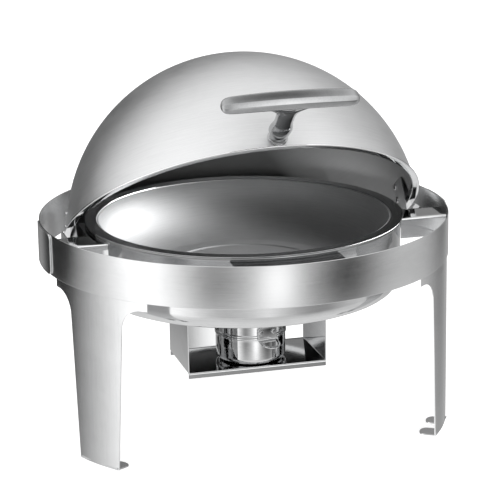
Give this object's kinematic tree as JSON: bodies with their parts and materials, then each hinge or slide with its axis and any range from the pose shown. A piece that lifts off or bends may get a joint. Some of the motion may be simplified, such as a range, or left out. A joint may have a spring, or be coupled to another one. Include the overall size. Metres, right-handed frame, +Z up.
{
  "type": "chafing dish food warmer",
  "caption": "Round roll-top chafing dish: a steel band on curved sheet legs, a water pan with a lift-out food pan, a rolling hemispherical lid and a sliding fuel holder.",
  "frame": {"origin": "on the floor under the centre of the band", "axes": "+Z up, -Y towards the front where the lid opens, X along the lid's hinge axis"},
  "size_m": [0.5006, 0.497, 0.4528],
  "materials": {
    "mirror_steel": "mirror polished stainless steel sheet",
    "satin_steel": "satin polished stainless steel",
    "brushed_pan": "fine circular brushed stainless steel",
    "cast_chrome": "polished chromed casting",
    "zinc_plated": "bright zinc plated fasteners",
    "black_nylon": "black moulded bush",
    "tinplate": "plain tinplate can"
  },
  "bodies": {
    "frame": {"band_ring": "mirror_steel", "leg_left": "mirror_steel", "leg_right": "mirror_steel", "leg_rear": "mirror_steel", "side_plate_left": "mirror_steel", "side_plate_right": "mirror_steel", "hinge_housing_left": "mirror_steel", "hinge_housing_right": "mirror_steel", "housing_screw_1": "zinc_plated", "housing_screw_2": "zinc_plated", "housing_screw_3": "zinc_plated", "housing_screw_4": "zinc_plated", "front_bracket": "mirror_steel", "hinge_pin_left": "zinc_plated", "hinge_pin_right": "zinc_plated", "pin_clip_left": "zinc_plated", "pin_clip_right": "zinc_plated", "hinge_bush_left_1": "black_nylon", "hinge_bush_left_2": "black_nylon", "hinge_bush_right_1": "black_nylon", "hinge_bush_right_2": "black_nylon", "water_pan": "mirror_steel", "burner_bracket": "mirror_steel", "bracket_stud_1": "zinc_plated", "bracket_stud_2": "zinc_plated", "bracket_stud_3": "zinc_plated", "bracket_stud_4": "zinc_plated", "bracket_nut_1": "zinc_plated", "bracket_nut_2": "zinc_plated", "bracket_nut_3": "zinc_plated", "bracket_nut_4": "zinc_plated"},
    "lid": {"lid_dome": "satin_steel", "lid_rim": "mirror_steel", "hinge_arm_left": "mirror_steel", "hinge_arm_right": "mirror_steel", "arm_rivet_1": "zinc_plated", "arm_rivet_2": "zinc_plated", "arm_rivet_3": "zinc_plated", "arm_rivet_4": "zinc_plated", "lid_handle": "cast_chrome", "handle_collar": "cast_chrome", "handle_screw": "zinc_plated"},
    "food_tray": {"food_pan": "brushed_pan"},
    "fuel_holder": {"burner_cup": "mirror_steel", "burner_collar": "mirror_steel", "fuel_tin": "tinplate", "cup_handle": "mirror_steel", "cup_handle_rivet_1": "zinc_plated", "cup_handle_rivet_2": "zinc_plated", "damper_rivet": "zinc_plated"},
    "damper": {"damper_plate": "mirror_steel"}
  },
  "joints": [
    {"name": "lid_hinge", "type": "hinge", "parent": "frame", "child": "lid", "pos_m": [0, 0, 0.237], "axis": [-1, 0, 0], "range_deg": [-35.8, 54.2]},
    {"name": "food_pan_lift", "type": "slide", "parent": "frame", "child": "food_tray", "axis": [0, 0, 1], "range_m": [0, 0.06]},
    {"name": "burner_slide", "type": "slide", "parent": "frame", "child": "fuel_holder", "axis": [0, -1, 0], "range_m": [0, 0.16]},
    {"name": "damper_swing", "type": "hinge", "parent": "fuel_holder", "child": "damper", "pos_m": [-0.03, -0.012, 0.1368], "axis": [0, 0, -1], "range_deg": [0, 90]}
  ]
}
